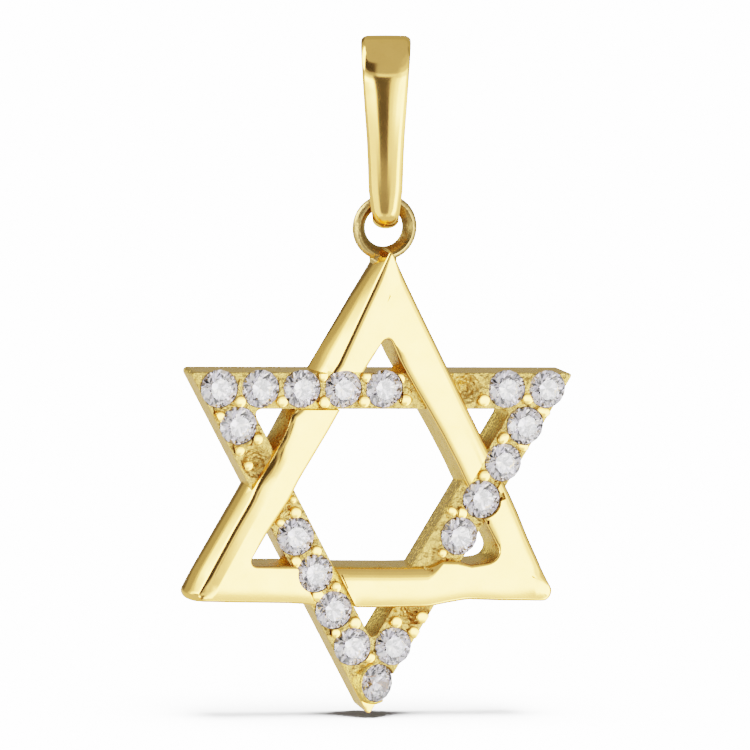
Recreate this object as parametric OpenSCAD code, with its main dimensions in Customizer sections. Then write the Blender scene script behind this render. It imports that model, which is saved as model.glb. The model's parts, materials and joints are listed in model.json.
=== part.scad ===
/* [Star] */
// Distance between the centres of neighbouring stones along a side
stone_pitch = 1.7; // [1.66:0.02:1.9]
// Width of a plain bar, seen from the front
plain_width = 1.54; // [1.3:0.02:1.7]
// Width of a stone-set bar from the line of stones towards the middle of the star
set_inner = 0.82; // [0.78:0.02:0.9]
// Width of a stone-set bar from the line of stones outwards
set_outer = 0.63; // [0.56:0.01:0.8]
// Thickness of the star from its back to its plain front faces
star_thick = 2.15; // [1.8:0.05:2.6]
// How far the stone-set bars lie below the plain front faces
deck_drop = 0.35; // [0.2:0.05:0.5]
// How much wider outwards a bar is where it passes over another
cross_swell = 0.2; // [0.1:0.02:0.26]
// How much wider towards the middle of the star a plain bar is where it passes over
cross_swell_in = 0.08; // [0.04:0.02:0.2]
// Lean of the polished outer walls, wider at the back than at the front
wall_draft = 3; // [0:1:8]
// Radius of the plain triangle's worn lower right corner
right_corner_r = 0.6; // [0.2:0.05:0.8]
// Radius of the plain triangle's lower left corner
left_corner_r = 0.45; // [0.2:0.05:0.8]
// Radius of the stone-set triangle's upper corners
set_corner_r = 0.25; // [0.1:0.05:0.6]
// Radius of the star's lower point
tip_r = 0.15; // [0.1:0.05:0.6]
// Radius of the inner corners of both triangles
inner_corner_r = 0.25; // [0.1:0.05:0.5]

/* [Stones] */
// Diameter of a stone across its girdle
stone_d = 1.5; // [1.3:0.02:1.54]
// Height of a stone's crown above its girdle, as a share of its diameter
crown_share = 0.16; // [0.12:0.01:0.18]
// Depth of a stone's pavilion below its girdle, as a share of its diameter
pavilion_share = 0.43; // [0.4:0.01:0.45]
// Width of a stone's table, as a share of its diameter
table_share = 0.57; // [0.5:0.01:0.65]
// Distance of the lower girdle facets' tips from a stone's middle, as a share of its radius
lower_tip_share = 0.3; // [0.2:0.05:0.5]
// Thickness of a stone's girdle
girdle_thick = 0.05; // [0.03:0.01:0.08]
// Gap all round between a stone and its seat
seat_gap = 0.02; // [0.01:0.005:0.03]
// How far the stone at the lower point is turned sideways, as it sits in the photo
tip_stone_turn = 20; // [0:1:22]
// How far the stone at the lower point sits off the middle
tip_stone_shift = 0.24; // [0:0.02:0.26]
// How far each of the other stones tilts in its seat, each another way
stone_tilt = 1.2; // [0:0.1:2]

/* [Beads] */
// Diameter of the beads that hold the stones
bead_d = 0.4; // [0.3:0.02:0.42]
// Distance of the beads from the line of stones
bead_out = 0.49; // [0.47:0.01:0.52]
// Height of the beads above the stone-set bars
bead_rise = 0.3; // [0.2:0.02:0.36]

/* [Ring] */
// Diameter of the ring's wire
wire_d = 0.48; // [0.4:0.01:0.5]
// Diameter of the ring, measured between the centres of its wire
ring_d = 2.1; // [2.06:0.02:2.4]
// How far the ring sits behind the middle of the star's thickness, so that the star hangs upright
ring_back = 0.08; // [0:0.02:0.3]
// How far the ring's wire sinks into the star's top point
ring_sink = 0.1; // [0.05:0.01:0.2]
// Diameter of the lump of solder between the ring and the star's top point
solder_d = 0.9; // [0.6:0.05:1.1]
// How far the middle of the solder lies below the tip of the star's top point
solder_low = 0.32; // [0.2:0.02:0.4]

/* [Bail] */
// Distance from the middle of the ring's wire up to the bail's seat for the chain
bail_drop = 6.06; // [4.5:0.1:8]
// Thickness of the bail's strap at its top and sides
strap_thick = 0.5; // [0.4:0.02:0.6]
// Width of the bail at its top
bail_top_w = 1.97; // [1.6:0.05:2.6]
// Width of the bail where it reaches the ring
bail_low_w = 1.34; // [1.2:0.02:1.4]
// Width of the bail's rounded end inside the ring
bail_end_w = 1.08; // [0.9:0.02:1.12]
// Inside radius of the bail's lower bend, round the ring's wire
bend_in = 0.6; // [0.5:0.02:0.7]
// Radius of the bail's upper corners, seen from the front
bail_corner_r = 0.15; // [0.05:0.05:0.4]
// Inside depth of the bail at its top, from front to back
bail_in_depth = 2.3; // [1.6:0.1:3]
// How far the bail is turned about the upright line, out of the star's plane
bail_turn = -18; // [-20:1:20]
// How far the bail leans sideways, to the left as seen from the front
bail_lean = 2.4; // [-3:0.1:3]

/* [Hidden] */
$fn = 48;
eps = 0.01;
// How far a cut runs past the faces that it opens
PAST = 1;

// Places along a side that hold a stone, counted clockwise from its left end. A plain bar
// covers the others, and the place after the last is the next side's first.
SET_PLACES = [0, 1, 2, 3, 4, 7];
pitches_a_side = max(SET_PLACES) + 1;
// Places of the beads: in the gaps between stones and beside the plain bar
BEAD_GAPS = [0.5, 1.5, 2.5, 3.5, 4.5, 6.5, 7.5];
TIP_SIDE = 2;

STONES = 3 * len(SET_PLACES);

// Each triangle's distances from the star's middle to its bars
line_in = pitches_a_side * stone_pitch / (2 * sqrt(3));
hexagon_in = line_in - set_inner;
set_out = line_in + set_outer;
plain_out = hexagon_in + plain_width;

// Levels towards the viewer, from the middle of the star's thickness
front = star_thick / 2;
back = -star_thick / 2;
deck = front - deck_drop;
wall_lean = star_thick * tan(wall_draft);

stone_r = stone_d / 2;
table_r = stone_r * table_share;
crown_h = stone_d * crown_share;
pavilion_h = stone_d * pavilion_share;
FACETS = 8;
// Radius of the tips of the star facets, just past halfway from the table to the girdle
STAR_TIP_WAY = 0.54;
star_tip_r = table_r + (stone_r - table_r) * STAR_TIP_WAY;
lower_tip_r = stone_r * lower_tip_share;
// Each stone is turned this much further in its seat than the one before
STONE_TURN = 17;
TILT_STEP = 100;

// The star hangs from the ring. Its top point is nearly sharp and ends inside the solder.
POINT_R = 0.1;
ring_r = ring_d / 2;
ring_hole_r = ring_r - wire_d / 2 - eps;
point_top = 2 * plain_out;
ring_at = point_top + ring_r - ring_sink;
hang = ring_at + ring_r;

bend_out = bend_in + strap_thick;
top_in_r = bail_in_depth / 2;
top_out_r = top_in_r + strap_thick;

function stone_name(n) = str("stone_", n < 10 ? "0" : "", n);

// A point on the line of stones, side 0 along the top and the others clockwise
function along_side(side, place, out = 0) =
    let (x = (place - pitches_a_side / 2) * stone_pitch, y = line_in + out, a = -120 * side)
    [x * cos(a) - y * sin(a), x * sin(a) + y * cos(a)];

// A triangle round the middle with sides at one distance and a radius at each corner. The first
// corner points up, or down when turned.
function round_triangle(apothem, radii, turned = 0, steps = 6) = [
    for (i = [0:2])
        for (j = [0:steps])
            let (
                a = 90 + turned - 120 * i,
                middle = 2 * (apothem - radii[i]),
                b = a + 60 - 120 * j / steps
            )
            [middle * cos(a) + radii[i] * cos(b), middle * sin(a) + radii[i] * sin(b)]
];

function ring_of(n, r, z, first = 0) =
    [for (i = [0:n - 1]) let (a = first + 360 * i / n) [r * cos(a), r * sin(a), z]];

// The ring's top, round which the star swings, below the chain's seat
hinge_at = [
    bail_drop * sin(bail_lean) * cos(bail_turn),
    bail_drop * sin(bail_lean) * sin(bail_turn),
    -bail_drop * cos(bail_lean)
];

// Sets upright in the star what is drawn flat as seen from the front, round the star's middle
module in_star() {
    translate(hinge_at) rotate([90, 0, 0]) translate([0, -hang, ring_back]) children();
}

// Sets a stone, or the seat for it, at its place in the star
module at_stone(n) {
    side = floor((n - 1) / len(SET_PLACES));
    place = SET_PLACES[(n - 1) % len(SET_PLACES)];
    p = along_side(side, place);
    is_tip = side == TIP_SIDE && place == 0;
    way = TILT_STEP * n;
    translate([p[0] + (is_tip ? tip_stone_shift : 0), p[1], deck])
        rotate(is_tip ? [0, tip_stone_turn, 0] : [stone_tilt * cos(way), stone_tilt * sin(way), 0])
            children();
}

// Cuts the three outer walls of a triangle so that they lean in towards the front
module lean_cuts(apothem, turned) {
    long = 4 * apothem;
    for (i = [0:2])
        rotate([0, 0, turned + 60 - 120 * i]) translate([-long / 2, apothem, back])
            rotate([wall_draft, 0, 0]) translate([0, 0, -PAST])
                cube([long, wall_lean + PAST, star_thick + 2 * PAST]);
}

module triangle_frame(apothem, radii, height, turned) {
    difference() {
        translate([0, 0, back]) linear_extrude(height) difference() {
            polygon(round_triangle(apothem, radii, turned));
            polygon(round_triangle(hexagon_in, [for (i = [0:2]) inner_corner_r], turned));
        }
        lean_cuts(apothem, turned);
    }
}

// Where the edge of the bar that crosses at the left meets a height, in the frame of a bar that
// lies along the top
function crossing_x(height, apothem) = (height / 2 - apothem) / cos(30);

// Length of the ramp at each end of a swell, for each unit of its height
SWELL_RUN = 4;

// The widening of a plain bar where it passes over, in the frame of a bar along the top
module over_pad() {
    in_a = crossing_x(hexagon_in, set_out);
    in_b = crossing_x(hexagon_in, hexagon_in);
    out_a = crossing_x(plain_out, set_out);
    out_b = crossing_x(plain_out, hexagon_in);
    run = SWELL_RUN * cross_swell;
    translate([0, 0, back]) linear_extrude(star_thick) polygon([
        [in_a - run, hexagon_in + eps],
        [in_a, hexagon_in - cross_swell_in],
        [in_b, hexagon_in - cross_swell_in],
        [in_b + run, hexagon_in + eps],
        [out_b + 2 * run, plain_out - wall_lean - eps],
        [out_b + run, plain_out - wall_lean + cross_swell],
        [out_a + run / 2, plain_out - wall_lean + cross_swell],
        [out_a - run / 2, plain_out - wall_lean - eps]
    ]);
}

// The trough in a plain bar through which the stone-set bar along the top passes
module trough() {
    left = crossing_x(set_out, plain_out) - PAST;
    translate([left, hexagon_in, deck])
        cube([-left, set_inner + set_outer + cross_swell, deck_drop + PAST]);
}

module plain_triangle() {
    difference() {
        union() {
            triangle_frame(plain_out, [POINT_R, right_corner_r, left_corner_r], star_thick, 0);
            for (i = [0:2]) rotate([0, 0, 60 - 120 * i]) over_pad();
        }
        for (i = [0:2]) rotate([0, 0, -120 * i]) trough();
    }
}

module set_triangle() {
    triangle_frame(set_out, [tip_r, set_corner_r, set_corner_r], deck - back, 180);
}

module bead() {
    r = bead_d / 2;
    translate([0, 0, deck - bead_rise]) cylinder(h = 2 * bead_rise - r, r = r);
    translate([0, 0, deck + bead_rise - r]) sphere(r = r);
}

// Two beads in each gap of a side. The inner bead at a corner is shared with the next side.
module beads() {
    for (side = [0:2], place = BEAD_GAPS, way = [-1, 1])
        if (way > 0 || place < pitches_a_side - 1) {
            p = along_side(side, place, way * bead_out);
            translate([p[0], p[1], 0]) bead();
        }
}

module seat() {
    r = stone_r + seat_gap;
    translate([0, 0, -seat_gap]) cylinder(h = crown_h + PAST, r = r);
    depth = pavilion_h + 2 * seat_gap;
    translate([0, 0, -seat_gap - depth]) cylinder(h = depth + eps, r1 = 2 * seat_gap, r2 = r);
}

module hanging_ring() {
    translate([0, ring_at, -ring_back]) rotate_extrude() translate([ring_r, 0]) circle(d = wire_d);
}

// The lump of solder between the ring and the star's point
module solder() {
    translate([0, point_top - solder_low, -ring_back]) sphere(d = solder_d);
}

module star() {
    color([1, 0.85, 0.5]) in_star() difference() {
        union() {
            plain_triangle();
            set_triangle();
            beads();
            difference() {
                union() {
                    hanging_ring();
                    solder();
                }
                translate([0, ring_at, -ring_back]) cylinder(h = 2 * PAST, r = ring_hole_r, center = true);
            }
        }
        for (n = [1:STONES]) at_stone(n) seat();
    }
}

// A round brilliant: table, star facets, kites, upper girdle facets, girdle, lower girdle facets
// and pavilion mains. Its girdle's lower edge lies at height 0.
module brilliant() {
    step = 360 / FACETS;
    girdle_h = girdle_thick;
    top = girdle_h + crown_h;
    tip_in = star_tip_r * cos(step / 2);
    tip_h = top - (tip_in - table_r) * crown_h / (stone_r - table_r);
    low_h = -pavilion_h + lower_tip_r * cos(step / 2) * pavilion_h / stone_r;
    table = ring_of(FACETS, table_r, top);
    tips = ring_of(FACETS, star_tip_r, tip_h, step / 2);
    upper = ring_of(2 * FACETS, stone_r, girdle_h);
    lower = ring_of(2 * FACETS, stone_r, 0);
    lows = ring_of(FACETS, lower_tip_r, low_h, step / 2);
    points = concat(table, tips, upper, lower, lows, [[0, 0, -pavilion_h]]);
    T = 0;
    S = FACETS;
    U = 2 * FACETS;
    G = 4 * FACETS;
    L = 6 * FACETS;
    culet = 7 * FACETS;
    faces = concat(
        [[for (i = [FACETS - 1:-1:0]) T + i]],
        [for (i = [0:FACETS - 1]) let (j = (i + 1) % FACETS) [T + i, T + j, S + i]],
        [for (i = [0:FACETS - 1]) let (h = (i + FACETS - 1) % FACETS) [T + i, S + i, U + 2 * i, S + h]],
        [for (i = [0:FACETS - 1]) [S + i, U + 2 * i + 1, U + 2 * i]],
        [for (i = [0:FACETS - 1]) [S + i, U + (2 * i + 2) % (2 * FACETS), U + 2 * i + 1]],
        [for (i = [0:2 * FACETS - 1]) let (j = (i + 1) % (2 * FACETS)) [U + i, U + j, G + j, G + i]],
        [for (i = [0:FACETS - 1]) [L + i, G + 2 * i, G + 2 * i + 1]],
        [for (i = [0:FACETS - 1]) [L + i, G + 2 * i + 1, G + (2 * i + 2) % (2 * FACETS)]],
        [for (i = [0:FACETS - 1]) let (h = (i + FACETS - 1) % FACETS) [L + i, culet, L + h, G + 2 * i]]
    );
    polyhedron(points, faces);
}

module stone(n) {
    color([0.9, 0.92, 0.96]) in_star() at_stone(n) rotate([0, 0, STONE_TURN * n]) brilliant();
}

// Two circles one above the other with the straight lines that touch both
module egg(top_z, top_r, low_z, low_r) {
    lean = asin((low_r - top_r) / (top_z - low_z));
    translate([0, top_z]) circle(top_r);
    translate([0, low_z]) circle(low_r);
    polygon([
        [top_r * cos(lean), top_z + top_r * sin(lean)],
        [-top_r * cos(lean), top_z + top_r * sin(lean)],
        [-low_r * cos(lean), low_z + low_r * sin(lean)],
        [low_r * cos(lean), low_z + low_r * sin(lean)]
    ]);
}

// How the bail narrows: share of the way up from the ring's level, share of the extra width
BAIL_TAPER = [[0, 0], [0.18, 0.09], [0.36, 0.25], [0.55, 0.5], [0.75, 0.76], [1, 1]];

module bail_front() {
    end_r = bail_end_w / 2;
    end_z = -bail_drop - bend_out + end_r;
    low_z = -bail_drop + strap_thick;
    high_z = strap_thick - bail_corner_r;
    right = [for (t = BAIL_TAPER) [
        (bail_low_w + (bail_top_w - bail_low_w) * t[1]) / 2, low_z + (high_z - low_z) * t[0]
    ]];
    left = [for (i = [len(right) - 1:-1:0]) [-right[i][0], right[i][1]]];
    top_x = bail_top_w / 2 - bail_corner_r;
    polygon(concat(
        [[-end_r, end_z], [end_r, end_z]],
        right,
        [[top_x, strap_thick + eps], [-top_x, strap_thick + eps]],
        left
    ));
    translate([0, end_z]) circle(end_r);
    for (x = [-top_x, top_x]) translate([x, high_z]) circle(bail_corner_r);
}

module bail() {
    color([1, 0.85, 0.5]) rotate([0, 0, bail_turn]) rotate([0, -bail_lean, 0]) intersection() {
        translate([-bail_top_w, 0, 0]) rotate([90, 0, 90]) linear_extrude(2 * bail_top_w)
            difference() {
                egg(-top_in_r, top_out_r, -bail_drop, bend_out);
                egg(-top_in_r, top_in_r, -bail_drop, bend_in);
            }
        translate([0, 2 * top_out_r, 0]) rotate([90, 0, 0]) linear_extrude(4 * top_out_r)
            bail_front();
    }
}

bail();
star();
for (n = [1:STONES])
    stone(n);
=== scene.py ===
import json
import math
import random

import bmesh
import bpy
from mathutils import Euler, Matrix, Vector, noise


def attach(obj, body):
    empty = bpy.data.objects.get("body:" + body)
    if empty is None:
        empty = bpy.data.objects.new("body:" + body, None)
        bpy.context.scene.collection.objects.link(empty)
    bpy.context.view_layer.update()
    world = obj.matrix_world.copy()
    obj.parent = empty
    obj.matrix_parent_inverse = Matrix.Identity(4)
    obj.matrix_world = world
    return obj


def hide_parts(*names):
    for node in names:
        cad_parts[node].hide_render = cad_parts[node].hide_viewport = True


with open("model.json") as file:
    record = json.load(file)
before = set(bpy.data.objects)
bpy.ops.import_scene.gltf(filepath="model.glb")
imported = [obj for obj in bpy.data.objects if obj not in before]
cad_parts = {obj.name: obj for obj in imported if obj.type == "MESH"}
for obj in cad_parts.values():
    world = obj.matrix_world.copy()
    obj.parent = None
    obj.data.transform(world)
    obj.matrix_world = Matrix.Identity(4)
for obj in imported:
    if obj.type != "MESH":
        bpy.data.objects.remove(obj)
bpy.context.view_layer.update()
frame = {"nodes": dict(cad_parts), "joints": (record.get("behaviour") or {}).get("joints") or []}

# The studio: a pale floor just below the star's point, white behind it, and soft boxes all
# round, which the polished gold mirrors. They stay where they are in every view.
scene = bpy.context.scene
scene.view_settings.view_transform = "Filmic"
scene.view_settings.look = "None"
FLOOR_Z = -0.0266
WHITE = 16


def add_node(tree, kind, inputs=None, **settings):
    made = tree.nodes.new(kind)
    for name, value in settings.items():
        setattr(made, name, value)
    for name, value in (inputs or {}).items():
        if isinstance(value, bpy.types.NodeSocket):
            tree.links.new(value, made.inputs[name])
        else:
            made.inputs[name].default_value = value
    return made


def soft_box_group():
    """Lays one soft box over the light from a direction, between four angles in degrees."""
    group = bpy.data.node_groups.new("soft_box", "ShaderNodeTree")
    names = ["Light", "Sideways", "Upwards", "Left", "Right", "Low", "High", "Soft", "Strength"]
    for name in names:
        group.interface.new_socket(name, in_out="INPUT", socket_type="NodeSocketFloat")
    group.interface.new_socket("Light", in_out="OUTPUT", socket_type="NodeSocketFloat")
    given = group.nodes.new("NodeGroupInput").outputs
    mask = None
    for way, edge, rising in (("Sideways", "Left", 1), ("Sideways", "Right", 0),
                              ("Upwards", "Low", 1), ("Upwards", "High", 0)):
        off = add_node(group, "ShaderNodeMath", {0: given[way], 1: given[edge]},
                       operation="SUBTRACT")
        share = add_node(group, "ShaderNodeMath", {0: off.outputs[0], 1: given["Soft"]},
                         operation="DIVIDE")
        ramp = add_node(group, "ShaderNodeMapRange",
                        {"Value": share.outputs[0], "From Min": -0.5, "From Max": 0.5,
                         "To Min": 1 - rising, "To Max": rising}, interpolation_type="SMOOTHSTEP")
        if mask is None:
            mask = ramp.outputs["Result"]
        else:
            mask = add_node(group, "ShaderNodeMath", {0: mask, 1: ramp.outputs["Result"]},
                            operation="MULTIPLY").outputs[0]
    mix = add_node(group, "ShaderNodeMapRange",
                   {"Value": mask, "To Min": given["Light"], "To Max": given["Strength"]})
    add_node(group, "NodeGroupOutput", {"Light": mix.outputs["Result"]})
    return group


world = bpy.data.worlds.new("studio")
scene.world = world
world.use_nodes = True
sky = world.node_tree
sky.nodes.clear()
way = add_node(sky, "ShaderNodeTexCoord").outputs["Generated"]
part = add_node(sky, "ShaderNodeSeparateXYZ", {0: way}).outputs
forward = add_node(sky, "ShaderNodeMath", {0: part["Y"], 1: -1}, operation="MULTIPLY").outputs[0]
TO_DEGREES = math.degrees(1)


def degrees_of(operation, *sockets):
    angle = add_node(sky, "ShaderNodeMath", dict(enumerate(sockets)), operation=operation).outputs[0]
    return add_node(sky, "ShaderNodeMath", {0: angle, 1: TO_DEGREES}, operation="MULTIPLY").outputs[0]


front_way = degrees_of("ARCTAN2", part["X"], forward)
back_way = degrees_of("ARCTAN2", part["X"], part["Y"])
up_way = degrees_of("ARCSINE", part["Z"])

# Each soft box: which azimuth it is given in, left, right, low, high, softness, strength
SOFT_BOXES = [
    (front_way, -200, 200, -100, -4, 8, 1.3),
    (front_way, -200, 200, 50, 100, 40, 0.75),
    (front_way, 66, 110, -50, -10, 8, 2),
    (front_way, 0, 64, 28, 50, 10, 0.95),
    (front_way, 0, 64, 14, 28, 8, 1.6),
    (front_way, 0, 64, 4, 14, 6, 4.5),
    (front_way, 46, 66, -50, 5, 5, 3.5),
    (front_way, -4, 48, -50, 2, 6, 4.5),
    (front_way, 7, 48, -50, 2, 8, 9.5),
    (front_way, -10, 24, -60, -15, 4, 2.4),
    (front_way, -88, -37, -50, 5, 8, 2.5),
    (front_way, -88, -37, -50, -4, 8, 10),
    (front_way, -88, -37, -60, -15, 6, 3),
    (front_way, -36, -10, -22, 6, 3, 0.12),
    (front_way, -46, 0, -50, -22, 10, 0.4),
    (front_way, -10, -2, -22, 5, 3, 2.4),
    (front_way, -30, 4, 6, 13, 4, 2.3),
    (front_way, -90, -31, 14, 42, 5, 0.07),
    (front_way, -136, -86, 8, 55, 5, 10),
    (front_way, 66, 90, -10, 30, 8, 1.3),
    (front_way, 90, 112, -20, 45, 8, 0.35),
    (back_way, -51, -41, 0, 50, 6, 5),
    (back_way, -42, -31, 0, 45, 6, 1.6),
    (back_way, -32, -14, 0, 45, 6, 0.6),
    (back_way, -15, 4, 0, 30, 4, 0.15),
    (back_way, 4, 62, 0, 45, 5, 0.58),
]
soft_box = soft_box_group()
# The light between the boxes, and what the sky gives the floor beside the sun
OPEN_SKY, SKY_ON_FLOOR = 0.75, 0.15
light = None
for sideways, left, right, low, high, soft, strength in SOFT_BOXES:
    made = add_node(sky, "ShaderNodeGroup", node_tree=soft_box)
    sky.links.new(sideways, made.inputs["Sideways"])
    sky.links.new(up_way, made.inputs["Upwards"])
    for name, value in (("Left", left), ("Right", right), ("Low", low), ("High", high),
                        ("Soft", soft), ("Strength", strength)):
        made.inputs[name].default_value = value
    if light is None:
        made.inputs["Light"].default_value = OPEN_SKY
    else:
        sky.links.new(light, made.inputs["Light"])
    light = made.outputs["Light"]
path = add_node(sky, "ShaderNodeLightPath").outputs


# What the stones see through themselves is more even, with two dark spots, dark patches and
# faint tints
def chequer(across, upwards, low, high):
    """A pattern of soft patches over all directions, from 0 to 1."""
    waves = []
    for socket, times in ((front_way, across), (up_way, upwards)):
        turn = add_node(sky, "ShaderNodeMath", {0: socket, 1: math.radians(times)},
                        operation="MULTIPLY")
        wave = add_node(sky, "ShaderNodeMath", {0: turn.outputs[0]}, operation="SINE")
        waves.append(wave.outputs[0])
    both = add_node(sky, "ShaderNodeMath", {0: waves[0], 1: waves[1]}, operation="MULTIPLY")
    return add_node(sky, "ShaderNodeMapRange",
                    {"Value": both.outputs[0], "From Min": low, "From Max": high}).outputs[0]


def dark_spot(light, left, right, low, high, soft, strength):
    """A dark box that only the stones see, over the light from the front."""
    return add_node(sky, "ShaderNodeGroup",
                    {"Light": light, "Sideways": front_way, "Upwards": up_way, "Left": left,
                     "Right": right, "Low": low, "High": high, "Soft": soft, "Strength": strength},
                    node_tree=soft_box).outputs[0]


STONE_SHARE, STONE_BASE, PATCH_DARK = 0.2, 1.0, 0.1
dim = add_node(sky, "ShaderNodeMapRange",
               {"Value": chequer(19, 19, 0.15, 0.5), "To Min": 1, "To Max": PATCH_DARK}).outputs[0]
lit = add_node(sky, "ShaderNodeMath", {0: light, 1: STONE_SHARE, 2: STONE_BASE},
               operation="MULTIPLY_ADD").outputs[0]
lit = add_node(sky, "ShaderNodeMath", {0: lit, 1: dim}, operation="MULTIPLY").outputs[0]
lens_spot = dark_spot(lit, -30, -6, -4, 19, 5, 0.03)
stroke = dark_spot(lens_spot, -6, 14, -16, -2, 3, 0.05)
inside = add_node(sky, "ShaderNodeMapRange",
                  {"Value": path["Is Transmission Ray"], "To Min": light, "To Max": stroke})
below = add_node(sky, "ShaderNodeMapRange",
                 {"Value": path["Diffuse Depth"], "To Min": inside.outputs["Result"],
                  "To Max": SKY_ON_FLOOR})
shown = add_node(sky, "ShaderNodeMapRange",
                 {"Value": path["Is Camera Ray"], "To Min": below.outputs["Result"], "To Max": WHITE})
tints = add_node(sky, "ShaderNodeMix", {"Factor": chequer(9, 11, -0.5, 0.5)}, data_type="RGBA")
tints.inputs["A"].default_value = (0.97, 0.92, 1.06, 1)
tints.inputs["B"].default_value = (1.08, 1.0, 0.9, 1)
tinted = add_node(sky, "ShaderNodeMix", {"Factor": path["Is Transmission Ray"]}, data_type="RGBA")
tinted.inputs["A"].default_value = (1, 1, 1, 1)
sky.links.new(tints.outputs["Result"], tinted.inputs["B"])
glow = add_node(sky, "ShaderNodeBackground",
                {"Color": tinted.outputs["Result"], "Strength": shown.outputs["Result"]})
add_node(sky, "ShaderNodeOutputWorld", {"Surface": glow.outputs[0]})

bm = bmesh.new()
bmesh.ops.create_grid(bm, x_segments=4, y_segments=4, size=3)
floor_mesh = bpy.data.meshes.new("floor")
bm.to_mesh(floor_mesh)
bm.free()
floor = bpy.data.objects.new("floor", floor_mesh)
scene.collection.objects.link(floor)
floor.location.z = FLOOR_Z
floor.visible_glossy = False
floor.visible_transmission = False
paint = bpy.data.materials.new("floor_white")
paint.use_nodes = True
tree = paint.node_tree
shader = tree.nodes["Principled BSDF"]
shader.inputs["Roughness"].default_value = 0.9
shader.inputs["Specular IOR Level"].default_value = 0
place = add_node(tree, "ShaderNodeTexCoord").outputs["Object"]
cloud = add_node(tree, "ShaderNodeTexNoise", {"Vector": place, "Scale": 30.0, "Detail": 2.0})
tone = add_node(tree, "ShaderNodeMapRange",
                {"Value": cloud.outputs["Fac"], "To Min": 0.88, "To Max": 0.9})
tree.links.new(tone.outputs["Result"], shader.inputs["Base Color"])
floor_mesh.materials.append(paint)

sun = bpy.data.lights.new("floor_light", "SUN")
sun.energy = 44
sun.angle = math.radians(34)
sun_object = bpy.data.objects.new("floor_light", sun)
scene.collection.objects.link(sun_object)
sun_object.rotation_euler = (math.radians(4), 0, 0)
sun_object.visible_glossy = False
sun_object.visible_transmission = False

# The camera: a long lens, a little left of the star, a little above it and turned by 2.5
# degrees, as the photo was taken. Its aim is the world point at the middle of the picture.
AZIMUTH, ELEVATION, ROLL = math.radians(-17.9), math.radians(7.5), math.radians(2.5)
DISTANCE = 0.38
PIXELS_PER_METRE = 25300
STAR_MIDDLE = Vector((0.00024134, -0.00088342, -0.01734665))
MIDDLE_IN_PHOTO = (379.5, 487)
PICTURE, SENSOR = 750, 36
right = Vector((math.cos(AZIMUTH), math.sin(AZIMUTH), 0))
back = Vector((math.sin(AZIMUTH) * math.cos(ELEVATION), -math.cos(AZIMUTH) * math.cos(ELEVATION),
               math.sin(ELEVATION)))
up = back.cross(right)
right, up = (math.cos(ROLL) * right + math.sin(ROLL) * up,
             -math.sin(ROLL) * right + math.cos(ROLL) * up)
aim = (STAR_MIDDLE + right * (PICTURE / 2 - MIDDLE_IN_PHOTO[0]) / PIXELS_PER_METRE
       + up * (MIDDLE_IN_PHOTO[1] - PICTURE / 2) / PIXELS_PER_METRE)
lens = bpy.data.cameras.new("camera")
camera = bpy.data.objects.new("camera", lens)
scene.collection.objects.link(camera)
lens.sensor_width = SENSOR
lens.lens = SENSOR * DISTANCE * PIXELS_PER_METRE / PICTURE
lens.clip_start = 0.01
facing = Matrix((right, up, back)).transposed().to_4x4()
camera.matrix_world = Matrix.Translation(aim + back * DISTANCE) @ facing
scene.camera = camera

# The metal of star and bail: 14 carat yellow gold, polished where a wheel reaches and left
# with the casting's grain on the inner walls and between the stones.
def grain_group():
    """Lumps and pits of a casting: a height, and a mask of the deeper places."""
    group = bpy.data.node_groups.new("casting_grain", "ShaderNodeTree")
    group.interface.new_socket("Scale", in_out="INPUT", socket_type="NodeSocketFloat")
    group.interface.new_socket("Height", in_out="OUTPUT", socket_type="NodeSocketFloat")
    group.interface.new_socket("Deep", in_out="OUTPUT", socket_type="NodeSocketFloat")
    size = group.nodes.new("NodeGroupInput").outputs["Scale"]
    place = add_node(group, "ShaderNodeTexCoord").outputs["Object"]
    lumps = add_node(group, "ShaderNodeTexNoise",
                     {"Vector": place, "Scale": size, "Detail": 5.0, "Roughness": 0.62})
    fold = add_node(group, "ShaderNodeMath", {0: size, 1: 1.7}, operation="MULTIPLY").outputs[0]
    pits = add_node(group, "ShaderNodeTexVoronoi", {"Vector": place, "Scale": fold})
    pit = add_node(group, "ShaderNodeMapRange", {"Value": pits.outputs["Distance"], "From Max": 0.5,
                                                 "To Min": -0.25, "To Max": 0.1})
    height = add_node(group, "ShaderNodeMath",
                      {0: lumps.outputs["Fac"], 1: pit.outputs["Result"]}, operation="ADD")
    deep = add_node(group, "ShaderNodeMapRange",
                    {"Value": height.outputs[0], "From Min": 0.55, "From Max": 0.3})
    add_node(group, "NodeGroupOutput",
             {"Height": height.outputs[0], "Deep": deep.outputs["Result"]})
    return group


grain = grain_group()


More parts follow.
